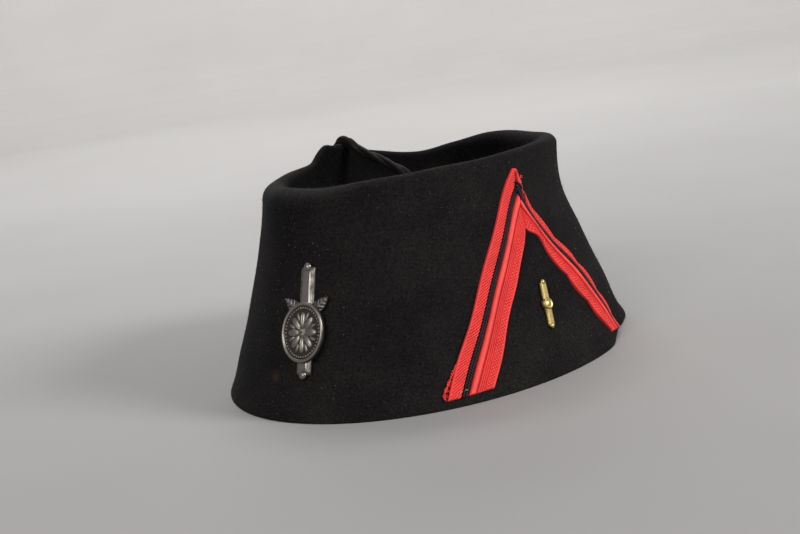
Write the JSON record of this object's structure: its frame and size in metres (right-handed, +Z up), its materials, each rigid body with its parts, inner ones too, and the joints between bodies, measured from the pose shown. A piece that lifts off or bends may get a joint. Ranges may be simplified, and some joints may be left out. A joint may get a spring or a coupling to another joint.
{
  "type": "fez hat",
  "caption": "Black felt fez with a pushed-in top, a red braid chevron on one side, a metal medallion badge, a brass bar pin and a corded tassel.",
  "frame": {"origin": "centre of the base oval, on the surface that the hat rests on", "axes": "+Z up; -Y to the front, where the badge is; +X to the wearer's left, where the chevron is"},
  "size_m": [0.1733, 0.206, 0.0976],
  "materials": {
    "felt": "soft napped wool felt, near black",
    "red_braid": "herringbone and ribbed braid, scarlet",
    "black_cord": "double twisted cord, black",
    "badge_metal": "dull silver-coloured stamping, tarnished in the hollows",
    "pin_brass": "satin brass, worn bright on the edges",
    "tassel_black": "twisted silky thread, warm black"
  },
  "bodies": {
    "root": {"felt_crown": "felt", "chevron_outer_band": "red_braid", "chevron_stripe": "black_cord", "chevron_inner_band": "red_braid", "front_badge": "badge_metal", "side_pin": "pin_brass", "tassel_cord": "tassel_black", "tassel": "tassel_black"}
  },
  "joints": []
}
